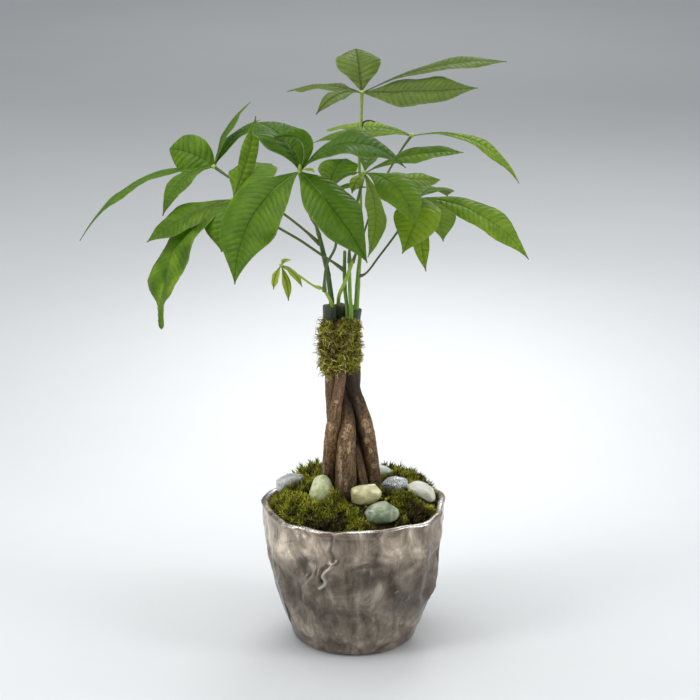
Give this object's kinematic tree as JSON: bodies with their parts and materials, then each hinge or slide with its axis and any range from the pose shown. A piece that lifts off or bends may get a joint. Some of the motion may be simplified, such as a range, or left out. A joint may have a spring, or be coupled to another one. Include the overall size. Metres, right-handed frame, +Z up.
{
  "type": "potted money tree",
  "caption": "Potted money tree with a woven trunk, hand-shaped palmate leaves, moss and polished stones in a dark metallic pot with pressed folds.",
  "frame": {"origin": "centre of the pot's flat underside", "axes": "+X to the viewer's right in the picture, +Y away from the viewer, +Z up"},
  "size_m": [0.3679, 0.1902, 0.4935],
  "materials": {
    "bark": "brown bark with tan scars, grey-green near the top",
    "shoot": "smooth fresh green stem",
    "leaf": "satin green leaf with pale veins",
    "young_leaf": "soft yellow-green leaf",
    "pot_glaze": "dark pewter-bronze metallic glaze, hand-pressed folds, brighter lip",
    "soil": "dark moist potting soil",
    "moss": "matt olive moss",
    "stone_lavender": "tumbled, softly polished",
    "stone_jade": "tumbled, softly polished",
    "stone_olive": "tumbled, softly polished",
    "stone_blue_green": "tumbled, softly polished",
    "stone_blue_grey": "tumbled, softly polished",
    "stone_cream": "tumbled, softly polished",
    "stone_pale_green": "tumbled, softly polished"
  },
  "bodies": {
    "root": {"trunk_front_right": "bark", "trunk_front_left": "bark", "trunk_front_centre": "bark", "trunk_back_right": "bark", "trunk_back_left": "bark", "shoot_left": "shoot", "shoot_left_young": "shoot", "shoot_back": "shoot", "shoot_centre": "shoot", "shoot_front": "shoot", "shoot_right": "shoot", "leaf_top": "leaf", "leaf_far_left": "leaf", "leaf_left": "leaf", "leaf_front": "leaf", "leaf_centre": "leaf", "leaf_right_high": "leaf", "leaf_right_low": "leaf", "leaf_rear": "leaf", "leaf_young": "young_leaf", "stone_lavender": "stone_lavender", "stone_jade": "stone_jade", "stone_olive": "stone_olive", "stone_blue_green": "stone_blue_green", "stone_blue_grey": "stone_blue_grey", "stone_cream": "stone_cream", "stone_pale_green": "stone_pale_green", "pot": "pot_glaze", "soil": "soil", "moss_bed": "moss", "moss_collar": "moss"}
  },
  "joints": []
}
